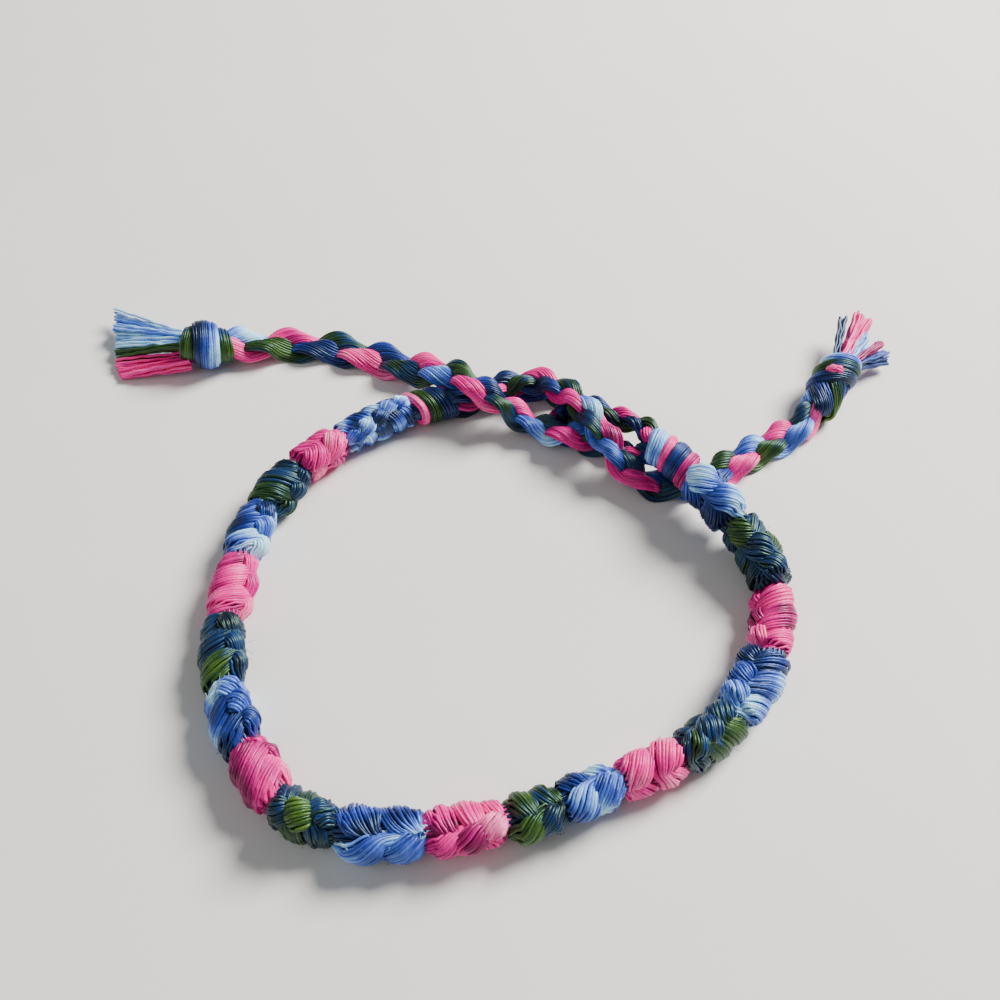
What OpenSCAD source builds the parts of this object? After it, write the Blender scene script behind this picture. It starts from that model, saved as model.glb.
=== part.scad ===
// Friendship bracelet of hitched embroidery floss, closed by its ties and lying on a table.
// Lengths are in millimetres. The origin is under the middle of the ring, on the table, and +Z is up.

/* [Ring] */
// Width of the ring, across the middle line of the band
ring_width = 60; // [56:0.5:64]
// Depth of the ring, across the middle line of the band
ring_depth = 54; // [51:0.5:58]
// Rise of the band's right end, which rests on the right tie
end_rise = 2.5; // [2.4:0.1:3.5]

/* [Knotted band] */
// Thickness of the band, over the swell of its hitches
band_thickness = 4.8; // [3.8:0.1:5.2]
// Depth of the nip between one hitch and the next
hitch_nip = 0.35; // [0.1:0.05:0.6]
// Height of the ridge where each hitch locks over itself
ridge_height = 0.6; // [0.2:0.05:0.9]
// Turn of the ridge from one hitch to the next, in degrees
ridge_turn = 16; // [0:1:30]
// Clear space between one piece and the next
clearance = 0.12; // [0.06:0.01:0.2]

/* [Wrapped collars] */
// Thickness of the two wrapped collars
collar_thickness = 4.7; // [4:0.1:5.2]
// Depth of the groove between two wraps
wrap_groove = 0.3; // [0.1:0.05:0.5]

/* [Braided loop] */
// Reach of the loop from the right collar
loop_length = 13.2; // [12.2:0.1:14.2]
// Spread of the loop between its two legs
loop_width = 5; // [4.6:0.1:5.4]
// Thickness of the loop's braid
loop_thickness = 1.9; // [1.5:0.1:2]

/* [Braided ties] */
// Width of a tie's flat braid on its free tail
tie_width = 4; // [3.4:0.1:4.4]
// Thickness of a tie's flat braid
tie_thickness = 2; // [1.7:0.1:2.1]

/* [Stop knots] */
// Length of the left tie's stop knot
left_knot_length = 6.4; // [5.4:0.1:7]
// Thickness of the left tie's stop knot
left_knot_thickness = 6.4; // [5.4:0.1:7]
// Length of the right tie's stop knot
right_knot_length = 8.4; // [7.4:0.1:9.4]
// Thickness of the right tie's stop knot
right_knot_thickness = 5.8; // [5:0.1:6.4]

/* [Fringes] */
// Length of the left fringe from its knot
left_fringe_length = 10; // [8:0.5:12]
// Length of the right fringe from its knot
right_fringe_length = 8; // [6:0.5:10]
// Spread of the strands where they leave a knot
root_spread = 3.4; // [2.4:0.1:4]
// Thickness of one lock of floss at its cut end
lock_thickness = 1.9; // [1.4:0.1:2.4]

/* [Hidden] */
SIDES = 12;
TIE_SIDES = 8;
RINGS_PER_HITCH = 4;
LEFT_TIE_RINGS = 40;
RIGHT_TIE_RINGS = 34;
LOOP_RINGS = 26;
LOCK_SIDES = 8;
LOCK_STEPS = 2;
KNOT_START = 0.4;
TABLE = 0;

blue = "cornflowerblue";
pink = "hotpink";
green = "darkgreen";

// Stations of the band's middle line, from the left collar round the front to the right collar.
// Columns: share of half the ring's width, share of half its depth, share of the end's rise.
RING_STATIONS = [
    [-0.23, 1.03, 0],
    [-0.47, 0.93, 0],
    [-0.73, 0.72, 0],
    [-0.92, 0.43, 0],
    [-0.99, 0.06, 0],
    [-0.98, -0.32, 0],
    [-0.86, -0.68, 0],
    [-0.65, -0.93, 0],
    [-0.35, -0.99, 0],
    [-0.02, -0.96, 0],
    [0.29, -0.85, 0],
    [0.60, -0.71, 0],
    [0.84, -0.49, 0],
    [0.98, -0.18, 0],
    [0.98, 0.12, 0.1],
    [0.82, 0.40, 0.75],
    [0.68, 0.61, 1.0],
    [0.60, 0.69, 0.95],
];

// Pieces along that line, in order. A block is a run of hitches tied with one colour of floss.
NAME = 0;
COLOUR = 1;
LENGTH = 2;
TURNS = 3;
RIDGE = 4;
// Columns: name, colour, share of the line's length, hitches or wraps, angle of the ridge at its
// first hitch, where 0 faces out of the ring and 90 faces up.
BAND = [
    ["left_collar", green, 0.030, 3, 0],
    ["blue_knots_1", blue, 0.065, 5, 70],
    ["pink_knots_1", pink, 0.042, 2, 110],
    ["green_knots_1", green, 0.044, 3, 150],
    ["blue_knots_2", blue, 0.048, 3, 125],
    ["pink_knots_2", pink, 0.051, 3, 150],
    ["green_knots_2", green, 0.053, 3, 110],
    ["blue_knots_3", blue, 0.048, 3, 100],
    ["pink_knots_3", pink, 0.042, 3, 140],
    ["green_knots_3", green, 0.042, 3, 58],
    ["blue_knots_4", blue, 0.055, 2, 2],
    ["pink_knots_4", pink, 0.050, 3, 20],
    ["green_knots_4", green, 0.036, 2, 20],
    ["blue_knots_5", blue, 0.040, 2, 45],
    ["pink_knots_5", pink, 0.044, 2, 80],
    ["green_knots_5", green, 0.048, 3, 70],
    ["blue_knots_6", blue, 0.055, 3, 110],
    ["pink_knots_6", pink, 0.055, 3, 150],
    ["green_knots_6", green, 0.058, 3, 80],
    ["blue_knots_7", blue, 0.050, 2, 80],
    ["right_collar", pink, 0.040, 4, 0],
];

// Stations of the braided loop, from the collar's face round its far end and back.
// Columns: share of the loop's length, share of its width, share of the collar's height.
LOOP_STATIONS = [
    [0.04, 0.22, 0.94],
    [0.14, 0.42, 0.90],
    [0.29, 0.52, 0.80],
    [0.45, 0.44, 0.73],
    [0.61, 0.36, 0.73],
    [0.78, 0.30, 0.72],
    [0.92, 0.16, 0.60],
    [1.00, -0.06, 0.38],
    [0.98, -0.30, 0.20],
    [0.88, -0.42, 0.20],
    [0.74, -0.46, 0.20],
    [0.60, -0.38, 0.20],
    [0.45, -0.24, 0.20],
    [0.31, -0.14, 0.26],
    [0.20, -0.14, 0.42],
    [0.11, -0.17, 0.62],
    [0.04, -0.19, 0.79],
];

// Middle line of the left tie: out of the left collar under the right tie, round through the loop,
// back over both ties and out to the left.
LEFT_TIE = [
    [-6.2, 28.1, 1.2], [-4.8, 28.7, 1.1], [-2.6, 29.8, 1.1], [-0.2, 30.8, 1.1], [2.4, 31.4, 1.1],
    [5, 31.3, 1.1], [7.4, 30.4, 1.1], [9.5, 28.8, 1.1], [11.2, 26.8, 1.1], [12.1, 24.8, 1.4],
    [11.9, 22.8, 2.8], [10.2, 21.7, 3.1], [8.2, 22.2, 2.9], [6.4, 23.1, 2.3], [4.4, 24.2, 2],
    [2.4, 25.1, 2.7], [0.2, 25.9, 4.2], [-1.9, 26.8, 5.3], [-4, 28.2, 5.5], [-6.2, 30.1, 4.8],
    [-8.6, 32, 3.6], [-11.2, 33.8, 2.3], [-14.2, 35.6, 1.4], [-18, 37.3, 1.1],
    [-22, 38.6, 1.1], [-26.5, 39.2, 1.1], [-30.2, 39, 1.5], [-33, 38.3, 2.3], [-35.5, 37.8, 3],
];

// Middle line of the right tie: out of the left collar, over the loop, under the band's right end
// and out to the right.
RIGHT_TIE = [
    [-6.2, 27.9, 3.4], [-4.4, 27.9, 3.3], [-2.2, 28.7, 3.2], [0.2, 29.8, 3.2], [2.4, 30.6, 3.3],
    [4.6, 30.4, 3.6], [6.6, 29, 4.2], [8.4, 27, 4.9], [9.8, 24.9, 5.3], [11.1, 22.7, 5.3],
    [12.2, 20.6, 4.9], [13.4, 18.8, 4.3], [14.7, 17, 3.4], [16.4, 15.8, 2.3], [18.7, 15.4, 1.4],
    [21.2, 15.5, 1.1], [23.8, 16.2, 1.1], [26.2, 17.2, 1.1], [28.7, 18.9, 1.1], [31.2, 20.6, 1.1],
    [33.6, 22, 1.1], [35.9, 23.3, 1.2], [37.9, 24.8, 1.8], [39.3, 26.6, 2.5],
];

// Widths of a tie's braid: share of its length, share of its full width. It is drawn tight in the
// closure and spreads on the free tail.
TIE_WIDTHS = [[0, 0.7], [0.5, 0.72], [0.62, 1], [1, 0.85]];

// Locks of the left fringe. Columns: degrees to the side, share of the fringe's length, share of
// the knot's height at the cut end.
LEFT_LOCKS = [
    [-52, 1.16, 0.38],
    [-44, 1.10, 0.24],
    [-37, 1.02, 0.36],
    [-29, 0.95, 0.20],
    [-21, 0.89, 0.30],
    [-13, 0.85, 0.20],
    [-5, 0.84, 0.26],
    [3, 0.83, 0.18],
    [11, 0.83, 0.18],
];

// Locks of the right fringe, in the same columns.
RIGHT_LOCKS = [
    [40, 0.90, 0.70],
    [23, 1.02, 0.80],
    [15, 1.00, 0.72],
    [1, 0.68, 0.62],
    [-7, 0.62, 0.40],
    [-28, 0.58, 0.40],
    [-40, 0.86, 0.28],
    [-50, 0.80, 0.20],
];

function unit(v) = v / norm(v);

// One point of a smooth curve through four stations, between the second and the third
function smooth(a, b, c, d, t) =
    0.5 * (2 * b + (c - a) * t + (2 * a - 5 * b + 4 * c - d) * t * t
        + (3 * b - a - 3 * c + d) * t * t * t);

function curve(stations, steps = 8) =
    let (last = len(stations) - 1)
    concat(
        [for (i = [0:last - 1]) for (k = [0:steps - 1])
            smooth(stations[max(i - 1, 0)], stations[i], stations[i + 1],
                stations[min(i + 2, last)], k / steps)],
        [stations[last]]
    );

// Distance run along a curve at each of its points
function runs(points) =
    [for (i = 0, run = 0; i < len(points);
        run = run + (i + 1 < len(points) ? norm(points[i + 1] - points[i]) : 0), i = i + 1) run];

// The point at a distance along a curve, and the way the curve heads there
function at(points, run, s) =
    [for (axis = [0:2]) lookup(s, [for (i = [0:len(points) - 1]) [run[i], points[i][axis]]])];

function heading(points, run, s) =
    unit(at(points, run, min(s + 0.3, max(run))) - at(points, run, max(s - 0.3, 0)));

function left_of(way) = unit(cross([0, 0, 1], way));
function over(way) = cross(way, left_of(way));

function above_table(p) = [p[0], p[1], max(p[2], TABLE)];

// A closed solid through rings of points that all turn the same way
module loft(rings) {
    sides = len(rings[0]);
    last = len(rings) - 1;
    polyhedron(
        points = [for (ring = rings) for (p = ring) p],
        faces = concat(
            [[for (k = [sides - 1:-1:0]) k]],
            [[for (k = [0:sides - 1]) last * sides + k]],
            [for (i = [0:last - 1]) for (k = [0:sides - 1]) let (n = (k + 1) % sides)
                [i * sides + k, i * sides + n, (i + 1) * sides + n]],
            [for (i = [0:last - 1]) for (k = [0:sides - 1]) let (n = (k + 1) % sides)
                [i * sides + k, (i + 1) * sides + n, (i + 1) * sides + k]]
        ),
        convexity = 4
    );
}

// The band's middle line
band_height = band_thickness / 2;
band_line = curve([for (s = RING_STATIONS)
    [s[0] * ring_width / 2, s[1] * ring_depth / 2, band_height + s[2] * end_rise]]);
band_run = runs(band_line);
band_total = sum_of([for (row = BAND) row[LENGTH]]);

function sum_of(values, n = -1) =
    let (count = n < 0 ? len(values) : n)
    count == 0 ? 0 : values[count - 1] + sum_of(values, count - 1);

function start_of(piece) =
    sum_of([for (row = BAND) row[LENGTH]], piece) / band_total * max(band_run);
function end_of(piece) = start_of(piece + 1);

// Share of the full swell at a place along a run of hitches or wraps
function swell(turns, share) = abs(sin(180 * turns * share));

function hitch_radius(row, share, angle) =
    let (full = swell(row[TURNS], share),
        ridge = row[RIDGE] + ridge_turn * row[TURNS] * share,
        facing = max(0, cos(angle - ridge)))
    band_thickness / 2 - hitch_nip * (1 - full) + ridge_height * full * pow(facing, 5);

function wrap_radius(row, share) =
    collar_thickness / 2 - wrap_groove * (1 - swell(row[TURNS], share));

// One ring of the band at a distance along its line, with its radius given for each angle
function band_ring(s, radii) =
    let (middle = at(band_line, band_run, s), way = heading(band_line, band_run, s))
    [for (k = [0:SIDES - 1]) let (angle = 360 * k / SIDES)
        above_table(middle + radii[k] * (sin(angle) * over(way) - cos(angle) * left_of(way)))];

// A run of hitches tied with one colour of floss round the other strands
module hitches(piece) {
    row = BAND[piece];
    from = start_of(piece) + clearance / 2;
    to = end_of(piece) - clearance / 2;
    rings = row[TURNS] * RINGS_PER_HITCH;
    color(row[COLOUR])
        loft([for (i = [0:rings]) let (share = i / rings)
            band_ring(from + (to - from) * share,
                [for (k = [0:SIDES - 1]) hitch_radius(row, share, 360 * k / SIDES)])]);
}

// A collar of floss wrapped round and round all the strands, at one end of the band
module collar(piece) {
    row = BAND[piece];
    from = start_of(piece) + clearance / 2;
    to = end_of(piece) - clearance / 2;
    rings = row[TURNS] * RINGS_PER_HITCH;
    color(row[COLOUR])
        loft([for (i = [0:rings]) let (share = i / rings)
            band_ring(from + (to - from) * share,
                [for (k = [0:SIDES - 1]) wrap_radius(row, share)])]);
}

// A braid of oval section along a curve, kept flat to the table. Its width follows a table of
// shares along its length.
module braid(line, rings, width, thickness, widths = [[0, 1], [1, 1]]) {
    run = runs(line);
    loft([for (i = [0:rings - 1]) let (
            share = i / (rings - 1),
            middle = at(line, run, share * max(run)),
            way = heading(line, run, share * max(run)),
            spread = width / 2 * lookup(share, widths))
        [for (k = [0:TIE_SIDES - 1]) let (angle = 360 * (k + 0.5) / TIE_SIDES)
            above_table(middle + spread * cos(angle) * -left_of(way)
                + thickness / 2 * sin(angle) * over(way))]]);
}

// The loop is the folded start of the strands, braided and bent back into the right collar
module braided_loop() {
    mouth = at(band_line, band_run, max(band_run));
    way = heading(band_line, band_run, max(band_run));
    ahead = unit([way[0], way[1], 0]);
    aside = -left_of(ahead);
    line = curve([for (s = LOOP_STATIONS)
        [mouth[0], mouth[1], 0]
            + s[0] * loop_length * ahead
            + s[1] * loop_width * aside
            + [0, 0, max(s[2] * mouth[2], loop_thickness / 2)]]);
    color(pink)
        braid(line, LOOP_RINGS, loop_thickness, loop_thickness);
}

module left_tie() {
    color(blue)
        braid(curve(LEFT_TIE), LEFT_TIE_RINGS, tie_width, tie_thickness, TIE_WIDTHS);
}

module right_tie() {
    color(blue)
        braid(curve(RIGHT_TIE), RIGHT_TIE_RINGS, tie_width, tie_thickness, TIE_WIDTHS);
}

// The far end of a tie, and the level way that it heads there
function end_point(route) = route[len(route) - 1];
function end_way(route) =
    let (step = end_point(route) - route[len(route) - 2])
    unit([step[0], step[1], 0]);

// An overhand knot: a ball of three wound lobes with slanting grooves between them
module stop_knot(route, length, thickness) {
    way = end_way(route);
    first = end_point(route) + KNOT_START * way;
    middle = [first[0], first[1], thickness / 2];
    rings = 12;
    neck = 0.8 * tie_thickness / thickness;
    color(green)
        loft([for (i = [0:rings]) let (
                turn = 180 * i / rings,
                share = (1 - cos(turn)) / 2,
                ball = max(neck, pow(sin(turn), 0.8)),
                end = i == 0 || i == rings)
            [for (k = [0:SIDES - 1]) let (
                    angle = 360 * k / SIDES,
                    lobe = end ? 1 : 0.86 + 0.14 * abs(sin(180 * (3 * share + sin(angle) / 4))),
                    radius = thickness / 2 * ball * lobe)
                above_table(middle + length * share * way
                    + radius * (sin(angle) * [0, 0, 1] - cos(angle) * left_of(way)))]]);
}

// One lock of cut floss from the fringe's head to its cut end
module lock(head, way, height, row, length) {
    toward = atan2(way[1], way[0]) + row[0];
    reach = length * row[1];
    root = head + root_spread * row[0] / 100 * left_of(way);
    tip = [
        head[0] + reach * cos(toward),
        head[1] + reach * sin(toward),
        max(row[2] * height, lock_thickness / 2)];
    sag = [0, 0, 0.15 * (root[2] - tip[2])];
    module section(share)
        translate(root + (tip - root) * share - 4 * share * (1 - share) * sag)
            rotate([0, 90, toward])
                cylinder(h = 0.2, r = lock_thickness / 2 * (0.7 + 0.3 * share), $fn = LOCK_SIDES);
    for (step = [0:LOCK_STEPS - 1])
        hull() {
            section(step / LOCK_STEPS);
            section((step + 1) / LOCK_STEPS);
        }
}

// The cut ends of the strands past a stop knot, fused to the short neck that leaves the knot
module fringe(route, knot_length, knot_thickness, length, locks) {
    way = end_way(route);
    first = end_point(route) + (KNOT_START + knot_length + clearance) * way;
    neck = 0.6 * tie_thickness;
    head = [first[0], first[1], knot_thickness / 2];
    hull()
        for (share = [0, 1])
            translate(head + share * neck * way)
                rotate([0, 90, atan2(way[1], way[0])])
                    cylinder(h = 0.2, r = neck, $fn = LOCK_SIDES);
    for (row = locks)
        lock(head + 0.6 * neck * way, way, knot_thickness, row, length - 0.6 * neck);
}

module left_stop_knot() {
    stop_knot(LEFT_TIE, left_knot_length, left_knot_thickness);
}

module right_stop_knot() {
    stop_knot(RIGHT_TIE, right_knot_length, right_knot_thickness);
}

module left_fringe() {
    color(blue)
        fringe(LEFT_TIE, left_knot_length, left_knot_thickness, left_fringe_length, LEFT_LOCKS);
}

module right_fringe() {
    color(pink)
        fringe(RIGHT_TIE, right_knot_length, right_knot_thickness, right_fringe_length, RIGHT_LOCKS);
}

LAST = len(BAND) - 1;

collar(0);  // left_collar
for (piece = [1:LAST - 1])
    hitches(piece);
collar(LAST);  // right_collar
braided_loop();
left_tie();
right_tie();
left_stop_knot();
right_stop_knot();
left_fringe();
right_fringe();
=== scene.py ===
import math

import bmesh
import bpy
import numpy as np
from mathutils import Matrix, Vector


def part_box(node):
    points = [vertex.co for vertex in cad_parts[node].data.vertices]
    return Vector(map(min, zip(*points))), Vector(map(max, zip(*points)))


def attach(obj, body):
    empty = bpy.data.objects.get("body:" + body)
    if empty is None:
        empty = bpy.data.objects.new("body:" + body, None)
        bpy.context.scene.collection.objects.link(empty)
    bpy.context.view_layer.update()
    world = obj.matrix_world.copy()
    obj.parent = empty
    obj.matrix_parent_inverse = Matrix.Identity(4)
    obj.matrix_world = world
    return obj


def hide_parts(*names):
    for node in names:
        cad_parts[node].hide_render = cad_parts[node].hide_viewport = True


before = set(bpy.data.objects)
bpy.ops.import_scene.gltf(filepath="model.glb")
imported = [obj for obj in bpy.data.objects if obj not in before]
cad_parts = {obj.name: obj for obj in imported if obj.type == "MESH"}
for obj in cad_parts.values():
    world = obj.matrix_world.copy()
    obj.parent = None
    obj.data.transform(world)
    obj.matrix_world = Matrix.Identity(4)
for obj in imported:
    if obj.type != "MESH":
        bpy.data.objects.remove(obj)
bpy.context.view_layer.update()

# The table that the bracelet lies on, the soft light over it and the camera.
# The table is a plain pale board, far wider than the bracelet.
CAMERA_PITCH = 36.51          # degrees up from straight down
camera_data = bpy.data.cameras.new("camera")
camera_data.lens = 36
camera_data.sensor_width = 36
camera_data.clip_start = 0.005
camera = bpy.data.objects.new("camera", camera_data)
camera.location = (-0.00015, -0.0578, 0.097)
camera.rotation_euler = (math.radians(CAMERA_PITCH), 0, 0)
bpy.context.scene.collection.objects.link(camera)
bpy.context.scene.camera = camera

TABLE_SIZE = 3.0
table_mesh = bpy.data.meshes.new("table")
work = bmesh.new()
bmesh.ops.create_grid(work, x_segments=1, y_segments=1, size=TABLE_SIZE / 2)
work.to_mesh(table_mesh)
work.free()
table = bpy.data.objects.new("table", table_mesh)
bpy.context.scene.collection.objects.link(table)

table_paint = bpy.data.materials.new("pale_board")
table_paint.use_nodes = True
nodes = table_paint.node_tree.nodes
links = table_paint.node_tree.links
board = nodes["Principled BSDF"]
board.inputs["Roughness"].default_value = 0.85
board.inputs["Specular IOR Level"].default_value = 0.2
place = nodes.new("ShaderNodeTexCoord")
mottle = nodes.new("ShaderNodeTexNoise")
mottle.inputs["Scale"].default_value = 25
mottle.inputs["Detail"].default_value = 4
tone = nodes.new("ShaderNodeValToRGB")
tone.color_ramp.elements[0].color = (0.78, 0.76, 0.72, 1)
tone.color_ramp.elements[1].color = (0.86, 0.84, 0.80, 1)
links.new(place.outputs["Object"], mottle.inputs["Vector"])
links.new(mottle.outputs["Fac"], tone.inputs["Fac"])
links.new(tone.outputs["Color"], board.inputs["Base Color"])
table_mesh.materials.append(table_paint)


def soft_light(name, place, size, power, colour):
    """A round lamp that faces the middle of the ring."""
    data = bpy.data.lights.new(name, "AREA")
    data.shape = "DISK"
    data.size = size
    data.energy = power
    data.color = colour
    lamp = bpy.data.objects.new(name, data)
    lamp.location = place
    lamp.rotation_euler = (-Vector(place)).to_track_quat("-Z", "Y").to_euler()
    bpy.context.scene.collection.objects.link(lamp)


soft_light("window", place=(0.42, 0.30, 0.42), size=0.30, power=13.0, colour=(1, 0.985, 0.96))
soft_light("room", place=(-0.40, -0.25, 0.55), size=0.6, power=0.9, colour=(0.94, 0.97, 1))
world = bpy.data.worlds.new("room_air")
world.use_nodes = True
world.node_tree.nodes["Background"].inputs["Color"].default_value = (0.92, 0.95, 1, 1)
world.node_tree.nodes["Background"].inputs["Strength"].default_value = 0.22
bpy.context.scene.world = world


# Embroidery floss: six fine plies of mercerised cotton, dyed in changing tones
# of one colour. Every piece is laid from single plies, each a fine round tube,
# and the plies carry their tone, their colour family and their own twist.
MM = 1000                     # in a metre; the floss is laid out in mm
PLY = 0.17                    # radius of one ply
PLY_SPREAD = (0.93, 1.07)     # thinnest and thickest ply, as shares of that radius
PLY_SIDES = 6
THREAD_TWIST = 5600           # of a ply's two threads, in radians a metre
TWIST_STARTS = 0.001          # metres along which the twists of different plies start
DYE_MOTTLE = 0.22             # how much the dye's fine mottle changes the tone
FAMILIES = ["pink", "blue", "green"]
luck = np.random.default_rng(7)


def ply_tube():
    """Node group: lines of ply points become round tubes, closed at both ends."""
    group = bpy.data.node_groups.new("ply_tube", "GeometryNodeTree")
    group.interface.new_socket("Lines", in_out="INPUT", socket_type="NodeSocketGeometry")
    group.interface.new_socket("Plies", in_out="OUTPUT", socket_type="NodeSocketGeometry")
    add = group.nodes.new
    join = group.links.new

    def named(name, kind):
        node = add("GeometryNodeInputNamedAttribute")
        node.data_type = kind
        node.inputs["Name"].default_value = name
        return node.outputs["Attribute"]

    lines = add("NodeGroupInput")
    plies = add("NodeGroupOutput")
    curve = add("GeometryNodeMeshToCurve")
    ring = add("GeometryNodeCurvePrimitiveCircle")
    ring.inputs["Resolution"].default_value = PLY_SIDES
    ring.inputs["Radius"].default_value = 1
    where = add("GeometryNodeInputPosition")
    around = add("GeometryNodeStoreNamedAttribute")
    around.data_type = "FLOAT_VECTOR"
    around.domain = "POINT"
    around.inputs["Name"].default_value = "around"
    sweep = add("GeometryNodeCurveToMesh")
    sweep.inputs["Fill Caps"].default_value = True
    family = add("GeometryNodeSetMaterialIndex")
    smooth = add("GeometryNodeSetShadeSmooth")
    join(lines.outputs[0], curve.inputs["Mesh"])
    join(ring.outputs["Curve"], around.inputs["Geometry"])
    join(where.outputs["Position"], around.inputs["Value"])
    join(curve.outputs["Curve"], sweep.inputs["Curve"])
    join(around.outputs["Geometry"], sweep.inputs["Profile Curve"])
    join(named("thick", "FLOAT"), sweep.inputs["Scale"])
    join(sweep.outputs["Mesh"], family.inputs["Geometry"])
    join(named("family", "INT"), family.inputs["Material Index"])
    join(family.outputs["Geometry"], smooth.inputs["Geometry"])
    join(smooth.outputs["Geometry"], plies.inputs[0])
    return group


PLY_TUBE = ply_tube()


def floss_material(name, tones, sheen_tint):
    """Dyed cotton: tone along the ply, two threads twisted together, a soft lustre.
    tones: places from dark to pale, each with its colour."""
    made = bpy.data.materials.new(name)
    made.use_nodes = True
    nodes = made.node_tree.nodes
    links = made.node_tree.links
    cotton = nodes["Principled BSDF"]
    cotton.inputs["Roughness"].default_value = 0.42
    cotton.inputs["Specular IOR Level"].default_value = 0.75
    cotton.inputs["Subsurface Weight"].default_value = 0.3
    cotton.inputs["Subsurface Radius"].default_value = (1, 0.8, 0.9)
    cotton.inputs["Subsurface Scale"].default_value = 0.0003
    cotton.inputs["Specular Tint"].default_value = (*sheen_tint, 1)
    cotton.inputs["Sheen Weight"].default_value = 0.08
    cotton.inputs["Sheen Roughness"].default_value = 0.4
    cotton.inputs["Sheen Tint"].default_value = (*sheen_tint, 1)

    def attribute(name):
        node = nodes.new("ShaderNodeAttribute")
        node.attribute_name = name
        return node

    def maths(kind, a, b=None):
        """One Math node on sockets or numbers."""
        node = nodes.new("ShaderNodeMath")
        node.operation = kind
        for slot, given in ((0, a), (1, b)):
            if isinstance(given, (int, float)):
                node.inputs[slot].default_value = given
            elif given is not None:
                links.new(given, node.inputs[slot])
        return node.outputs[0]

    place = nodes.new("ShaderNodeTexCoord")
    mottle = nodes.new("ShaderNodeTexNoise")
    mottle.inputs["Scale"].default_value = 900
    mottle.inputs["Detail"].default_value = 2
    links.new(place.outputs["Object"], mottle.inputs["Vector"])
    uneven = maths("MULTIPLY", maths("SUBTRACT", mottle.outputs["Fac"], 0.5), DYE_MOTTLE)
    tone = maths("ADD", attribute("tone").outputs["Fac"], uneven)
    dye = nodes.new("ShaderNodeValToRGB")
    stops = dye.color_ramp.elements
    stops[0].position = tones[0][0]
    stops[0].color = (*tones[0][1], 1)
    stops[1].position = tones[-1][0]
    stops[1].color = (*tones[-1][1], 1)
    for position, colour in tones[1:-1]:
        stops.new(position).color = (*colour, 1)
    links.new(tone, dye.inputs["Fac"])

    # two threads twisted together, with about one full turn a millimetre; the base colour is darkened in
    # the grooves between them as painted shade
    turn = nodes.new("ShaderNodeSeparateXYZ")
    links.new(attribute("around").outputs["Vector"], turn.inputs["Vector"])
    angle = maths("ARCTAN2", turn.outputs["Y"], turn.outputs["X"])
    twist = maths("ADD", angle, maths("MULTIPLY", attribute("along").outputs["Fac"], THREAD_TWIST))
    thread = maths("ABSOLUTE", maths("SINE", twist))
    groove_shade = nodes.new("ShaderNodeMapRange")
    groove_shade.inputs["From Min"].default_value = 0
    groove_shade.inputs["From Max"].default_value = 0.6
    groove_shade.inputs["To Min"].default_value = 0.8
    groove_shade.inputs["To Max"].default_value = 1
    links.new(thread, groove_shade.inputs["Value"])
    # painted shade: the dye colour is multiplied darker where the twist's grooves lie
    paint_groove_shade = nodes.new("ShaderNodeMix")
    paint_groove_shade.data_type = "RGBA"
    paint_groove_shade.blend_type = "MULTIPLY"
    paint_groove_shade.inputs["Factor"].default_value = 1
    links.new(dye.outputs["Color"], paint_groove_shade.inputs["A"])
    links.new(groove_shade.outputs["Result"], paint_groove_shade.inputs["B"])
    links.new(paint_groove_shade.outputs["Result"], cotton.inputs["Base Color"])

    # single cotton fibres, far finer than the threads
    fibre = nodes.new("ShaderNodeTexNoise")
    fibre.inputs["Scale"].default_value = 9000
    fibre.inputs["Detail"].default_value = 2
    links.new(place.outputs["Object"], fibre.inputs["Vector"])
    relief = nodes.new("ShaderNodeBump")
    relief.inputs["Strength"].default_value = 0.2
    relief.inputs["Distance"].default_value = 0.00004
    height = maths("ADD", thread, maths("MULTIPLY", fibre.outputs["Fac"], 0.5))
    links.new(height, relief.inputs["Height"])
    links.new(relief.outputs["Normal"], cotton.inputs["Normal"])
    return made


PINK_TONES = [
    (0.0, (0.15, 0.0, 0.05)),
    (0.25, (0.44, 0.0, 0.16)),
    (0.5, (0.86, 0.004, 0.28)),
    (0.75, (1.0, 0.026, 0.31)),
    (1.0, (1.0, 0.19, 0.42)),
]
BLUE_TONES = [
    (0.0, (0.001, 0.002, 0.025)),
    (0.25, (0.003, 0.009, 0.09)),
    (0.5, (0.016, 0.036, 0.29)),
    (0.75, (0.085, 0.17, 0.65)),
    (0.9, (0.24, 0.48, 0.97)),
    (1.0, (0.44, 0.78, 1.0)),
]
GREEN_TONES = [
    (0.0, (0.001, 0.002, 0.015)),
    (0.22, (0.002, 0.008, 0.06)),
    (0.42, (0.003, 0.026, 0.13)),
    (0.55, (0.004, 0.016, 0.005)),
    (0.78, (0.014, 0.042, 0.003)),
    (1.0, (0.06, 0.12, 0.01)),
]
FLOSS = {
    "pink": floss_material("pink_floss", PINK_TONES, sheen_tint=(1, 0.45, 0.65)),
    "blue": floss_material("blue_floss", BLUE_TONES, sheen_tint=(0.45, 0.7, 1)),
    "green": floss_material("green_floss", GREEN_TONES, sheen_tint=(0.45, 0.8, 0.55)),
}


def unit(v):
    return v / np.maximum(np.linalg.norm(v, axis=-1, keepdims=True), 1e-9)


def smooth_line(stations, steps=8):
    """The same smooth curve through stations as the part's own lines follow."""
    s = np.asarray(stations, float)
    last = len(s) - 1
    t = (np.arange(steps) / steps)[:, None]
    spans = []
    for i in range(last):
        a, b, c, d = s[max(i - 1, 0)], s[i], s[i + 1], s[min(i + 2, last)]
        spans.append(0.5 * (2 * b + (c - a) * t + (2 * a - 5 * b + 4 * c - d) * t ** 2
                            + (3 * b - a - 3 * c + d) * t ** 3))
    return np.vstack(spans + [s[-1:]])


def run_of(points):
    """Distance run along a line at each of its points."""
    return np.concatenate([[0], np.cumsum(np.linalg.norm(np.diff(points, axis=0), axis=1))])


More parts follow.
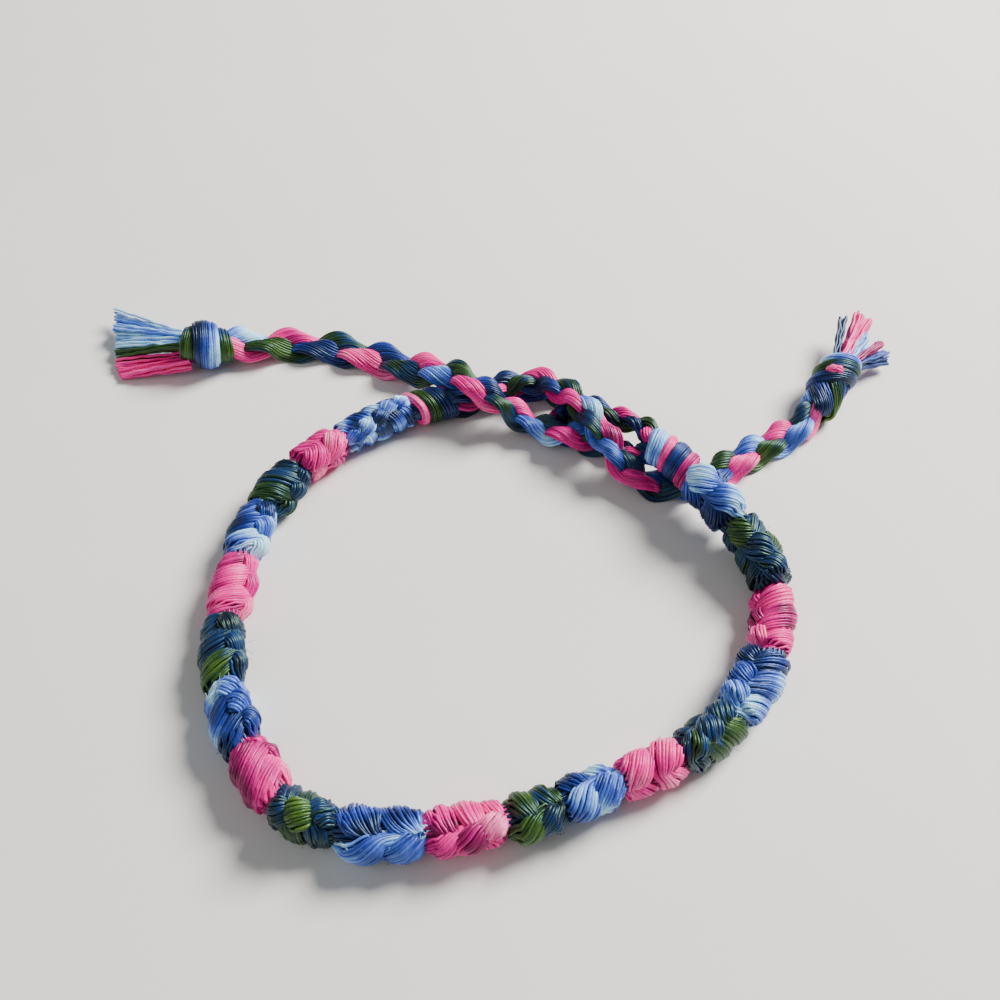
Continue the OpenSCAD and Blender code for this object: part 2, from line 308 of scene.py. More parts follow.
def at(points, run, s):
    """The points at distances along a line."""
    return np.stack([np.interp(s, run, points[:, k]) for k in range(points.shape[1])], axis=-1)


def look_up(place, table):
    """The value at a place, between the rows of a table of places and values."""
    return np.interp(place, [row[0] for row in table], [row[1] for row in table])


def wander(count, reach, wave=8):
    """A slow random wave along a ply, about so many points from crest to crest."""
    knots = max(4, int(count / wave) + 3)
    heights = luck.uniform(-reach, reach, knots)
    return np.interp(np.linspace(0, knots - 1, count), np.arange(knots), heights)


def rows_of(upper, lower):
    """Seats of the plies across a flat bundle: an upper row, a lower one, one ply at each edge."""
    seats = [((2 * k + 1) / upper - 1, 1) for k in range(upper)]
    seats += [((2 * k + 1) / lower - 1, -1) for k in range(lower)]
    return seats + [(-1, 0), (1, 0)]


CLOSING = 0.75                # how far a bundle's two layers close up at its edges
RISE_LOOSE = 0.6              # looseness up and down, as a share of that across


def lay_bundle(plies, line, up, half_width, half_height, seats, tone, family,
               crown=0.0, loose=0.05, thick=PLY, uneven=0.1, drift=0.0):
    """Adds the plies of one bundle along a line to a piece's list of plies. crown: how far its
    edges hang, loose: how far plies stray, uneven and drift: change of tone from ply to ply and
    from edge to edge."""
    line = np.asarray(line, float)
    count = len(line)
    ahead = unit(np.gradient(line, axis=0))
    side = unit(np.cross(ahead, np.asarray(up, float)))
    out = np.cross(side, ahead)
    half_width = np.broadcast_to(half_width, count)
    half_height = np.broadcast_to(half_height, count)
    for a, b in seats:
        across = a * half_width + wander(count, loose)
        layer = b * half_height * math.sqrt(1 - CLOSING * a * a)
        rise = layer - crown * a * a + wander(count, loose * RISE_LOOSE)
        points = line + side * across[:, None] + out * rise[:, None]
        points[:, 2] = np.maximum(points[:, 2], thick)
        shade = tone + drift * a + luck.uniform(-uneven, uneven) + wander(count, uneven)
        radius = thick * luck.uniform(*PLY_SPREAD)
        plies.append((points, np.clip(shade, 0, 1), radius, FAMILIES.index(family)))


def twist_up(name, plies):
    """One piece from its plies: lines of points in bmesh, then round tubes by the node group."""
    work = bmesh.new()
    layers = work.verts.layers
    tone, thick, along = (layers.float.new(k) for k in ("tone", "thick", "along"))
    family = layers.int.new("family")
    for points, tones, radius, kind in plies:
        run = run_of(points) / MM + luck.uniform(0, TWIST_STARTS)
        radii = np.broadcast_to(radius, len(points)) / MM
        before = None
        for point, shade, half, distance in zip(points / MM, tones, radii, run):
            vert = work.verts.new(point)
            vert[tone] = shade
            vert[thick] = half
            vert[along] = distance
            vert[family] = kind
            if before is not None:
                work.edges.new((before, vert))
            before = vert
    lines = bpy.data.meshes.new(name + "_lines")
    work.to_mesh(lines)
    work.free()
    piece = bpy.data.objects.new(name, lines)
    bpy.context.scene.collection.objects.link(piece)
    piece.modifiers.new("plies", "NODES").node_group = PLY_TUBE
    grown = bpy.data.meshes.new_from_object(piece.evaluated_get(bpy.context.evaluated_depsgraph_get()))
    piece.modifiers.clear()
    piece.data = grown
    bpy.data.meshes.remove(lines)
    grown.name = name
    for kind in FAMILIES:
        grown.materials.append(FLOSS[kind])
    return piece


# The two ties: flat braids of three strands, one of each colour, that leave the
# left collar, cross at the loop and end free. Floss, braided by hand.
LEFT_TIE = [
    [-6.2, 28.1, 1.2], [-4.8, 28.7, 1.1], [-2.6, 29.8, 1.1], [-0.2, 30.8, 1.1], [2.4, 31.4, 1.1],
    [5, 31.3, 1.1], [7.4, 30.4, 1.1], [9.5, 28.8, 1.1], [11.2, 26.8, 1.1], [12.1, 24.8, 1.4],
    [11.9, 22.8, 2.8], [10.2, 21.7, 3.1], [8.2, 22.2, 2.9], [6.4, 23.1, 2.3], [4.4, 24.2, 2],
    [2.4, 25.1, 2.7], [0.2, 25.9, 4.2], [-1.9, 26.8, 5.3], [-4, 28.2, 5.5], [-6.2, 30.1, 4.8],
    [-8.6, 32, 3.6], [-11.2, 33.8, 2.3], [-14.2, 35.6, 1.4], [-18, 37.3, 1.1],
    [-22, 38.6, 1.1], [-26.5, 39.2, 1.1], [-30.2, 39, 1.5], [-33, 38.3, 2.3], [-35.5, 37.8, 3],
]
RIGHT_TIE = [
    [-6.2, 27.9, 3.4], [-4.4, 27.9, 3.3], [-2.2, 28.7, 3.2], [0.2, 29.8, 3.2], [2.4, 30.6, 3.3],
    [4.6, 30.4, 3.6], [6.6, 29, 4.2], [8.4, 27, 4.9], [9.8, 24.9, 5.3], [11.1, 22.7, 5.3],
    [12.2, 20.6, 4.9], [13.4, 18.8, 4.3], [14.7, 17, 3.4], [16.4, 15.8, 2.3], [18.7, 15.4, 1.4],
    [21.2, 15.5, 1.1], [23.8, 16.2, 1.1], [26.2, 17.2, 1.1], [28.7, 18.9, 1.1], [31.2, 20.6, 1.1],
    [33.6, 22, 1.1], [35.9, 23.3, 1.2], [37.9, 24.8, 1.8], [39.3, 26.6, 2.5],
]
# where the braids begin inside the collar and end inside their stop knots
LEFT_ROOT = [-7.4, 27.6, 1.7]
LEFT_TIP = [-36.9, 37.7, 3.2]
RIGHT_ROOT = [-7.6, 27.7, 3.0]
RIGHT_TIP = [40.1, 28.0, 3.0]
TIE_WIDTH = 4.0
TIE_THICKNESS = 2.0
# share of the tie's length, share of its width
LEFT_WIDTHS = [[0, 0.88], [0.5, 0.92], [0.62, 1.3], [0.96, 1.3], [1, 0.85]]
RIGHT_WIDTHS = [[0, 0.88], [0.5, 0.92], [0.65, 1.16], [0.9, 1.12], [1, 0.75]]
# share of the tie's length, length of one strand's full round trip
LEFT_REPEAT = [[0, 13.5], [0.5, 13.5], [0.65, 19.5], [1, 19.5]]
RIGHT_REPEAT = [[0, 13.5], [1, 13.5]]
# each strand's family, and its tones at shares of the tie's length
LEFT_STRANDS = [
    ("pink", [[0, 0.3], [0.4, 0.35], [0.5, 0.7], [0.6, 0.3], [0.7, 0.85], [0.8, 0.75], [0.87, 0.3],
              [0.95, 0.8], [1, 0.8]]),
    ("green", [[0, 0.25], [0.3, 0.7], [0.45, 0.3], [0.6, 0.75], [0.72, 0.3], [0.88, 0.8], [1, 0.7]]),
    ("blue", [[0, 0.25], [0.3, 0.5], [0.4, 0.85], [0.5, 0.3], [0.65, 0.85], [0.75, 0.2], [0.86, 0.3],
              [0.95, 0.95], [1, 0.9]]),
]
RIGHT_STRANDS = [
    ("pink", [[0, 0.3], [0.25, 0.55], [0.45, 0.25], [0.7, 0.85], [0.85, 0.45], [1, 0.8]]),
    ("blue", [[0, 0.3], [0.25, 0.25], [0.38, 0.95], [0.5, 0.4], [0.7, 0.55], [0.85, 0.9], [1, 0.5]]),
    ("green", [[0, 0.25], [0.25, 0.75], [0.5, 0.2], [0.65, 0.3], [0.8, 0.8], [1, 0.3]]),
]
BRAID_STEP = 0.37             # between the points of a ply
BRAID_PLY = 0.168             # radius of a ply drawn tight in a braid
STRAND_SHARE = 0.57           # width of a strand, as a share of the braid's
STRAND_HEIGHT = 0.32          # half height of a strand's bundle
LINGER = 0.22                 # how long a strand keeps to its edge
BOW = 0.15                    # how much fuller its swing is half way across
HOP = 0.38                    # rise where a strand crosses over, as a share of the thickness
EDGE_LEAN = 16                # degrees that a strand leans as it swings to an edge
SHINGLE_LEAN = 24             # degrees that it leans to tuck its sides under the next strands
TONE_WAVE = 0.14              # change of tone along a strand
TONE_PACE = 1.1               # radians a mm of that change
STRAND_GAP = PLY * 0.8        # what a bundle's outer plies keep free of its half width


def braid(plies, stations, width, thickness, widths, repeat, phase, strands, seats):
    """Three strands plaited flat along a line of stations. Returns the braid's middle line.
    phase: how far on its round trip the first strand starts."""
    fine = smooth_line(stations)
    run = run_of(fine)
    s = np.linspace(0, run[-1], int(run[-1] / BRAID_STEP) + 1)
    share = s / run[-1]
    middle = at(fine, run, s)
    ahead = unit(np.gradient(middle, axis=0))
    left = unit(np.cross([0, 0, 1], ahead))
    over = np.cross(ahead, left)
    half = width / 2 * look_up(share, widths)
    strand_half = half * STRAND_SHARE
    turns = np.concatenate([[0], np.cumsum(np.diff(s) / look_up(share[1:], repeat))])
    for k, (family, tones) in enumerate(strands):
        angle = 2 * math.pi * (turns + phase + k / 3)
        swing = np.sin(angle + LINGER * np.sin(2 * angle))
        swing *= 1 + BOW - BOW * swing ** 2
        rise = -np.sin(2 * angle) * thickness * HOP
        line = middle + left * (swing * (half - strand_half))[:, None] + over * rise[:, None]
        lean = np.radians(EDGE_LEAN * np.sin(angle) - SHINGLE_LEAN * np.sin(3 * angle))
        up = over * np.cos(lean)[:, None] + left * np.sin(lean)[:, None]
        tone = look_up(share, tones) + TONE_WAVE * np.sin(s * TONE_PACE + 2 * k)
        lay_bundle(plies, line, up, strand_half - STRAND_GAP, STRAND_HEIGHT, seats, tone, family,
                   crown=0.26, loose=0.08, thick=BRAID_PLY, uneven=0.13)
    return middle


TIE_SEATS = rows_of(9, 4)
left_plies = []
left_line = braid(left_plies, [LEFT_ROOT] + LEFT_TIE + [LEFT_TIP], TIE_WIDTH, TIE_THICKNESS,
                  LEFT_WIDTHS, LEFT_REPEAT, phase=0.1, strands=LEFT_STRANDS, seats=TIE_SEATS)
left_tie = twist_up("tie_left", left_plies)

right_plies = []
right_line = braid(right_plies, [RIGHT_ROOT] + RIGHT_TIE + [RIGHT_TIP], TIE_WIDTH, TIE_THICKNESS,
                   RIGHT_WIDTHS, RIGHT_REPEAT, phase=0.4, strands=RIGHT_STRANDS, seats=TIE_SEATS)
right_tie = twist_up("tie_right", right_plies)

for tie, node in ((left_tie, "left_tie"), (right_tie, "right_tie")):
    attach(tie, "root")
    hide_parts(node)


# The stop knots: each tie's strands turned once round themselves and drawn
# tight, so that the outside shows a few slanting turns of the three colours.
LEFT_KNOT_LENGTH = 6.4
LEFT_KNOT_HEIGHT = 6.5
RIGHT_KNOT_LENGTH = 8.4
RIGHT_KNOT_HEIGHT = 5.8
TURN_POINTS = 40
DIVE = 0.7                    # how far the ends of a turn dive under the turns beside it
DIVE_SHARE = 0.15             # share of the turn in which each end dives
KNOT_PLY_SPACING = 0.27       # across a turn
KNOT_PAINTED_SHADE = 0.22             # painted shade and light: how much a turn's tone is darkened and lightened on its way round
KNOT_PAINTED_SHADE_ANGLE = 1.2        # radians round the axis to one of the two places of darkest painted shade
CORE_POINTS = 9
CORE_ENDS = (-0.34, 0.3)      # of the fill, as shares of the knot's length from its middle
CORE_GIRTH = 0.3              # radius of the fill, as a share of the knot's height
# painted shade: the knot's fill is in a very dark tone, so the gaps between the turns show dark
CORE_SHADE_TONE = 0.1
# place along the knot's length, share of its radius, slant and climb of the turn, where it starts
# and how far it sweeps in degrees, width, bundle height, family, tone, the tone's drift across it
LEFT_TURNS = [
    (0.26, 0.76, -10, 0, 240, 390, 2.4, 1.0, "green", 0.64, 0),
    (-0.33, 0.74, 16, 0, 240, 390, 2.2, 0.9, "green", 0.62, 0),
    (-0.02, 1.0, 10, 0.5, 235, 390, 3.4, 1.4, "blue", 0.44, -0.52),
]
RIGHT_TURNS = [
    (-0.20, 0.84, 0, 5.2, 150, 120, 2.6, 1.3, "blue", 0.5, 0.1),
    (-0.22, 0.86, 0, 5.2, 60, 120, 2.6, 1.3, "blue", 0.3, 0.15),
    (-0.20, 0.84, 0, 5.2, -30, 120, 2.6, 1.3, "green", 0.7, -0.2),
    (-0.20, 0.84, 0, 5.2, 240, 120, 2.6, 1.3, "blue", 0.3, 0),
    (0.03, 0.96, 34, 0, 200, 380, 2.2, 1.1, "blue", 0.18, 0.15),
    (0.20, 0.98, 24, 0, 200, 380, 2.0, 1.0, "green", 0.62, 0),
    (0.34, 0.90, 18, 0, 200, 380, 1.7, 0.9, "blue", 0.85, 0.1),
    (0.11, 1.06, 30, 0.4, 76, 34, 1.3, 0.8, "pink", 0.95, 0),
]


def dive_of(t, depth, share):
    """How deep the two ends of a turn lie, at shares of its length."""
    return depth * (np.clip(1 - t / share, 0, 1) ** 2 + np.clip(1 - (1 - t) / share, 0, 1) ** 2)


def turn_round(plies, middle, axis, place, radius, slant, climb, start, sweep, width, height,
               family, tone, drift):
    """One turn of a bundle round an axis, leaning by slant and climbing along the axis."""
    axis = unit(np.asarray(axis, float))
    up = unit(np.array([0, 0, 1.0]) - axis * axis[2])
    side = np.cross(axis, up)
    t = np.linspace(0, 1, TURN_POINTS)
    angle = np.radians(start + sweep * t)
    out = side[None] * np.cos(angle)[:, None] + up[None] * np.sin(angle)[:, None]
    along = place + climb * (t - 0.5) + np.tan(np.radians(slant)) * radius * np.cos(angle)
    line = middle + axis * along[:, None] + out * (radius - dive_of(t, DIVE, DIVE_SHARE))[:, None]
    seats = rows_of(max(4, int(width / KNOT_PLY_SPACING)), 3)
    # painted shade and light: each turn is darker at two opposite places round the knot and paler between
    # them
    tone = tone - KNOT_PAINTED_SHADE * np.cos(2 * (angle - KNOT_PAINTED_SHADE_ANGLE))
    lay_bundle(plies, line, unit(out), width / 2 - STRAND_GAP, height / 2, seats, tone, family,
               crown=0.15, loose=0.08, uneven=0.09, drift=drift)


def stop_knot(name, node, middle, axis, length, height, turns):
    """A knot as a dark fill along its axis, painted shade for the gaps, and the turns of a table round it.
    """
    plies = []
    core = np.asarray(middle) + np.outer(np.linspace(*CORE_ENDS, CORE_POINTS) * length,
                                         unit(np.asarray(axis, float)))
    fill = np.full(CORE_POINTS, CORE_SHADE_TONE)
    plies.append((core, fill, height * CORE_GIRTH, FAMILIES.index("blue")))
    for place, share, slant, climb, start, sweep, width, thick, family, tone, drift in turns:
        radius = height / 2 * share - PLY - thick / 2
        turn_round(plies, middle, axis, place * length, radius, slant, climb, start, sweep, width,
                   thick, family, tone, drift)
    knot = twist_up(name, plies)
    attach(knot, "root")
    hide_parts(node)
    return knot


def middle_of(node):
    """The middle of a solid's box, in mm."""
    low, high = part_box(node)
    return (np.array(low) + np.array(high)) * (MM / 2)


def end_way(line):
    """The way that a tie heads at its far end."""
    return line[-1] - line[-8]


left_middle = middle_of("left_stop_knot")
left_knot = stop_knot("knot_left", "left_stop_knot", left_middle, end_way(left_line),
                      LEFT_KNOT_LENGTH, LEFT_KNOT_HEIGHT, LEFT_TURNS)
right_middle = middle_of("right_stop_knot")
right_knot = stop_knot("knot_right", "right_stop_knot", right_middle, end_way(right_line),
                       RIGHT_KNOT_LENGTH, RIGHT_KNOT_HEIGHT, RIGHT_TURNS)


# The fringes: the strands' cut ends past each knot, combed out into single
# plies by wear. Floss, cut with scissors.

# degrees to the side, share of the fringe's length, share of its full rise at the cut end
LEFT_LOCKS = [
    [-41, 1.35, 0.34], [-35.5, 1.26, 0.22], [-29, 1.15, 0.30], [-22, 1.06, 0.18], [-15, 1.00, 0.24],
    [-8, 0.96, 0.15], [0, 0.95, 0.20], [7, 0.93, 0.13], [14, 0.88, 0.13],
]
RIGHT_LOCKS = [
    [17, 0.98, 0.62], [6, 1.06, 0.75], [-1, 1.02, 0.70], [-8, 0.78, 0.60],
    [-15, 0.74, 0.42], [-24, 0.80, 0.60], [-29, 0.90, 0.30], [-36, 0.86, 0.22],
]
# family, tone and number of plies of each of the right fringe's locks
RIGHT_LOCK_DYES = [
    ("blue", 0.06, 11), ("pink", 0.74, 16), ("pink", 0.68, 16), ("blue", 0.95, 12), ("blue", 0.9, 10),
    ("pink", 0.12, 18), ("blue", 0.5, 16), ("blue", 0.3, 12),
]
# far side of each stripe of the left fringe, its family, tone and highest ply
LEFT_STRIPES = [(0.53, "blue", 0.97, 1.0), (0.68, "green", 0.8, 1.2), (1.0, "pink", 0.74, 0.1)]
LEFT_FRINGE_LENGTH = 10.6
RIGHT_FRINGE_LENGTH = 9.4
LEFT_FRINGE_RISE = 6.4        # about as high as the knot
RIGHT_FRINGE_RISE = 5.8
LEFT_FRINGE_ROOT = 2.0        # from the knot's middle
RIGHT_FRINGE_ROOT = 3.0
LEFT_FRINGE_STRANDS = 14
PLIES_PER_STRAND = 6
LEFT_ROOT_SPREAD = 4.4        # width of the left fringe where it leaves its knot
CUT_POINTS = 26
LEFT_CUT_PLY = 0.19
RIGHT_CUT_PLY = 0.18
SWAY = 0.06                   # of a cut ply, still waved by the braid
SWAY_PACE = 2.4               # radians a mm
CUT_WAVE = 5                  # points from crest to crest of a cut ply's own wander
LEAVING_BEND = 0.7            # share of its bend that a ply has as it leaves the knot
LEAVING_REACH = 0.3           # share of the fringe's length that it keeps that way


def cut_end(plies, root, way, full_rise, length, lock, aside, lift, tone, family, wave, thick):
    """One cut ply: out of the knot, then down to the table. lock: its bend, share and rise."""
    bend, share, rise = lock
    left = np.array([-way[1], way[0], 0.0])
    turn = np.radians(bend)
    start = root + left * aside + [0, 0, lift]
    tip = root + (way * np.cos(turn) + left * np.sin(turn)) * length * share
    tip[2] = max(rise * full_rise + lift * 0.3, 0.2)
    t = np.linspace(0, 1, CUT_POINTS)[:, None]
    out = way * np.cos(turn * LEAVING_BEND) + left * np.sin(turn * LEAVING_BEND)
    knee = start + out * length * LEAVING_REACH
    line = start * (1 - t) ** 2 + 2 * knee * t * (1 - t) + tip * t ** 2
    run = run_of(line)
    sway = SWAY * np.sin(run * SWAY_PACE + wave + luck.uniform(-0.7, 0.7)) * np.clip(run / 2, 0, 1)
    side = np.cross(unit(np.gradient(line, axis=0)), [0, 0, 1])
    line = line + side * (sway + wander(CUT_POINTS, 0.09, CUT_WAVE))[:, None]
    line = line + np.array([0, 0, 1.0]) * wander(CUT_POINTS, 0.1, CUT_WAVE)[:, None]
    line[:, 2] = np.maximum(line[:, 2], thick)
    shade = np.clip(tone + luck.uniform(-0.14, 0.14) + wander(CUT_POINTS, 0.12), 0, 1)
    plies.append((line, shade, thick, FAMILIES.index(family)))


def finish_fringe(name, node, plies):
    cut = twist_up(name, plies)
    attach(cut, "root")
    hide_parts(node)
    return cut


left_way = unit(end_way(left_line) * [1, 1, 0])
plies = []
for strand in range(LEFT_FRINGE_STRANDS):
    shade = luck.uniform(-0.08, 0.04)
    wave = luck.uniform(0, 6.3)
    for ply in range(PLIES_PER_STRAND):
        across = (strand + (ply + 0.5) / PLIES_PER_STRAND) / LEFT_FRINGE_STRANDS
        place = across * (len(LEFT_LOCKS) - 1)
        bend, share, rise = (np.interp(place, range(len(LEFT_LOCKS)), column)
                             for column in zip(*LEFT_LOCKS))
        family, tone, high = next(stripe[1:] for stripe in LEFT_STRIPES if across < stripe[0])
        lock = (bend, share * luck.uniform(0.97, 1.02), rise)
        aside = (across - 0.45) * LEFT_ROOT_SPREAD
        cut_end(plies, left_middle + left_way * LEFT_FRINGE_ROOT, left_way, LEFT_FRINGE_RISE,
                LEFT_FRINGE_LENGTH, lock, aside, luck.uniform(high - 2, high), tone + shade, family,
                wave, LEFT_CUT_PLY)
left_fringe = finish_fringe("fringe_left", "left_fringe", plies)

right_way = unit(end_way(right_line) * [1, 1, 0])
plies = []
for (bend, share, rise), (family, tone, count) in zip(RIGHT_LOCKS, RIGHT_LOCK_DYES):
    for ply in range(count):
        lock = (bend + luck.uniform(-3.5, 3.5), share * luck.uniform(0.96, 1.03), rise)
        aside = np.sin(np.radians(bend)) * 1.8 + luck.uniform(-0.5, 0.5)
        cut_end(plies, right_middle + right_way * RIGHT_FRINGE_ROOT, right_way, RIGHT_FRINGE_RISE,
                RIGHT_FRINGE_LENGTH, lock, aside, luck.uniform(-0.7, 0.9), tone, family, bend,
                RIGHT_CUT_PLY)
right_fringe = finish_fringe("fringe_right", "right_fringe", plies)


# The band: runs of hitches, each tied with one colour of floss round the other
# strands. Every hitch is one turn round them that its own end locks, and the
# locked end lies along the band as a raised bump until the next turn.

# shares of half the ring's width, of half its depth and of the right end's rise
RING_STATIONS = [
    [-0.23, 1.03, 0], [-0.47, 0.93, 0], [-0.73, 0.72, 0], [-0.92, 0.43, 0], [-0.99, 0.06, 0],
    [-0.98, -0.32, 0], [-0.86, -0.68, 0], [-0.65, -0.93, 0], [-0.35, -0.99, 0], [-0.02, -0.96, 0],
    [0.29, -0.85, 0], [0.60, -0.71, 0], [0.84, -0.49, 0], [0.98, -0.18, 0], [0.98, 0.12, 0.1],
    [0.82, 0.40, 0.75], [0.68, 0.61, 1.0], [0.60, 0.69, 0.95],
]
RING_WIDTH = 60
RING_DEPTH = 54
END_RISE = 2.5
BAND_RADIUS = 2.4
band_line = smooth_line([[x * RING_WIDTH / 2, y * RING_DEPTH / 2, BAND_RADIUS + z * END_RISE]
                         for x, y, z in RING_STATIONS])
band_run = run_of(band_line)

# name, family, share of the line's length, turns, ridge angle at the first hitch (0 faces out of
# the ring, 90 up, 180 in), lean of the turns in degrees (farther along on the outer side), size of
# the bumps, how far they cross the ridge in degrees, girth, painted light and shade: how much paler
# the inner side is than the outer one, how strong the dye's spots are, then the tone of each turn
# and each bump in order: dye, with painted highlights among its pale tones
BAND = [
    ("left_collar", "green", .030, 3, 0, 34, 1, 30, 1, 0, 0, []),
    ("blue_knots_1", "blue", .065, 5, 70, 22, .8, 30, 0.96, .1, .42,
     [.42, .6, .42, .6, .42, .6, .42, .6, .42, .6]),
    ("pink_knots_1", "pink", .042, 2, 110, 25, 1.35, 60, 1.06, .2, 0, [.4, .8, .55, .45]),
    ("green_knots_1", "green", .044, 3, 150, 18, 1, 25, 1.08, .1, 0, [.25, .15, .3, .3, .8, .35]),
    ("blue_knots_2", "blue", .048, 3, 125, 20, 1, 30, 1.03, .5, .1, [.65, .2, .55, .4, .75, .95]),
    ("pink_knots_2", "pink", .051, 3, 150, 14, .8, 20, 1.0, 0, .15, [.35, .45, .5, .65, .45, .9]),
    ("green_knots_2", "green", .053, 3, 110, 14, .9, 25, 1.06, -.2, .05, [.25, .2, .35, .3, .8, .4]),
    ("blue_knots_3", "blue", .048, 3, 100, 30, 1.1, 40, 1.06, .2, .2, [.85, .95, .88, .3, .35, .15]),
    ("pink_knots_3", "pink", .042, 3, 140, 34, .6, 30, 1.05, .1, .1, [.2, .3, .25, .3, .5, .75]),
    ("green_knots_3", "green", .042, 3, 58, 8, 1.3, 35, 1.04, 0, 0, [.2, .2, .8, .85, .3, .25]),
    ("blue_knots_4", "blue", .055, 2, 2, 16, 1.4, 70, 1.01, -.1, .2, [.4, .85, .6, .35]),
    ("pink_knots_4", "pink", .050, 3, 20, 4, 1.1, 50, 1.02, .1, .15, [.4, .5, .75, .25, .6, 1]),
    ("green_knots_4", "green", .036, 2, 20, 6, 1.2, 60, 1.0, 0, .1, [.7, .85, .35, .25]),
    ("blue_knots_5", "blue", .040, 2, 45, 8, 1.4, 80, 1.0, .1, .25, [.25, .55, .8, .95]),
    ("pink_knots_5", "pink", .044, 2, 80, 14, 1.5, 90, 0.98, 0, .1, [.4, .7, .6, .75]),
    ("green_knots_5", "green", .048, 3, 70, 16, 1.2, 60, 1.06, -.1, .1, [.3, .35, .75, .3, .7, .6]),
    ("blue_knots_6", "blue", .055, 3, 110, 24, 1.35, 50, 1.12, -.4, .15, [.75, .9, .5, .6, .25, .2]),
    ("pink_knots_6", "pink", .055, 3, 150, 16, 1, 25, 0.94, -.1, .15, [.5, .7, .25, .3, .6, .5]),
    ("green_knots_6", "green", .058, 3, 80, 18, 1.4, 50, 1.14, -.1, .05, [.2, .25, .75, .35, .25, .75]),
    ("blue_knots_7", "blue", .050, 2, 80, 18, 1.5, 55, 1.10, -.2, .1, [.45, .85, .4, .85]),
    ("right_collar", "pink", .040, 4, 0, 18, 1, 30, 1, 0, 0, []),
]
NAME_COLUMN = 0
SHARE_COLUMN = 2
LEAN_COLUMN = 5
ends = np.concatenate([[0], np.cumsum([row[SHARE_COLUMN] for row in BAND])])
ends = ends / ends[-1] * band_run[-1]
RIDGE_TURN = 16               # degrees from one hitch to the next
HEADING_STEP = 0.3            # along the band, to either side of the place where its way is read


def on_band(s, angle, radius):
    """Points round the band: distance along it, angle round it in degrees, distance out."""
    s, angle, radius = (np.asarray(v, float) for v in (s, angle, radius))
    leans = [row[LEAN_COLUMN] for row in BAND]
    lean = np.tan(np.radians(np.interp(s, (ends[1:] + ends[:-1]) / 2, leans)))
    s = s + lean * radius * np.cos(np.radians(angle))
    middle = at(band_line, band_run, s)
    first = unit(band_line[1] - band_line[0])
    last = unit(band_line[-1] - band_line[-2])
    middle += np.minimum(s, 0)[:, None] * first + np.maximum(s - band_run[-1], 0)[:, None] * last
    ahead = at(band_line, band_run, np.clip(s + HEADING_STEP, HEADING_STEP, band_run[-1]))
    behind = at(band_line, band_run, np.clip(s - HEADING_STEP, 0, band_run[-1] - HEADING_STEP))
    way = unit(ahead - behind)
    left = unit(np.cross([0, 0, 1], way))
    over = np.cross(way, left)
    a = np.radians(angle)[:, None]
    out = np.sin(a) * over - np.cos(a) * left
    return middle + out * radius[:, None], out


FEWEST_PLIES = 11             # across the upper layer of one turn
PLY_SPACING = 0.31            # widest that the plies of a turn lie apart
BAND_PLY = 0.165              # radius of a ply drawn tight in a hitch
WRAP_RADIUS = 2.0             # middle of a turn's two layers of plies
WRAP_HEIGHT = 0.17            # half height of a turn's bundle
KEYS_PER_HITCH = 13
KEY_STEPS = 3                 # points from one key to the next
TURN_KEY = 5                  # of a hitch's keys, the one half way round its turn
BUMP_KEY = 11                 # of a hitch's keys, the one on its bump
RIDGE_STRAY = 6               # degrees that a hitch may lie off the ridge
BUMP_SPREAD = (0.92, 1.08)    # smallest and largest bump, as shares of its run's


def hitch_keys(first, pitches, ridge, bump, cross):
    """The strand's way through a run of hitches: distance, angle, radius, half width, half height."""
    keys = [(first + 0.4 * pitches[0], ridge - 20, 1.2, 0.4, 0.2)]
    last = first + pitches.sum()
    near = cross / 2
    s = first
    for k, pitch in enumerate(pitches):
        top = ridge + RIDGE_TURN * (k + 0.5) + 360 * k + luck.uniform(-RIDGE_STRAY, RIDGE_STRAY)
        wide = pitch / 2 + 0.02
        fat = bump * luck.uniform(*BUMP_SPREAD)
        s += pitch / 2
        keys += [
            (s + 0.40 * pitch, top + near, 1.75, 0.80, 0.2),
            (s + 0.34 * pitch, top + near + 18, 1.95, 0.95, 0.2),
            (s + 0.20 * pitch, top + near + 46, WRAP_RADIUS, wide * 0.88, WRAP_HEIGHT),
            (s + 0.08 * pitch, top + 120, WRAP_RADIUS + 0.03, wide, WRAP_HEIGHT),
            (s, top + 180, WRAP_RADIUS + 0.04, wide, WRAP_HEIGHT),
            (s - 0.08 * pitch, top + 240, WRAP_RADIUS + 0.03, wide, WRAP_HEIGHT),
            (s - 0.20 * pitch, top + 314 - near, WRAP_RADIUS, wide * 0.88, WRAP_HEIGHT),
            (s - 0.34 * pitch, top + 342 - near, 1.98, 0.95, 0.2),
            (s - 0.40 * pitch, top + 358 - near, 2.02, 0.85 + 0.1 * fat, 0.3),
            (s - 0.22 * pitch, top + 360 - near * 0.5, 2.08 + 0.14 * fat, 0.3 + 0.8 * fat, 0.40 * fat),
            (s + 0.06 * pitch, top + 360, 2.16 + 0.20 * fat, 0.3 + 0.85 * fat, 0.46 * fat),
            (s + 0.38 * pitch, top + 360 + near * 0.6, 2.08 + 0.10 * fat, 0.3 + 0.72 * fat, 0.38 * fat),
            (min(s + 0.68 * pitch, last - 0.3), top + 362 + near, 1.85, 0.75, 0.28),
        ]
        s += pitch / 2
    keys += [(last + 0.1, keys[-1][1] + 8, 1.4, 0.4, 0.2)]
    return np.array(keys)


PINCH = 0.75                  # how far the plies draw in at the ends of a run
PINCH_REACH = 1.5             # how far from its ends a run draws in
PINCHED_RADIUS = 1.4          # least distance from the band's middle that it draws them to


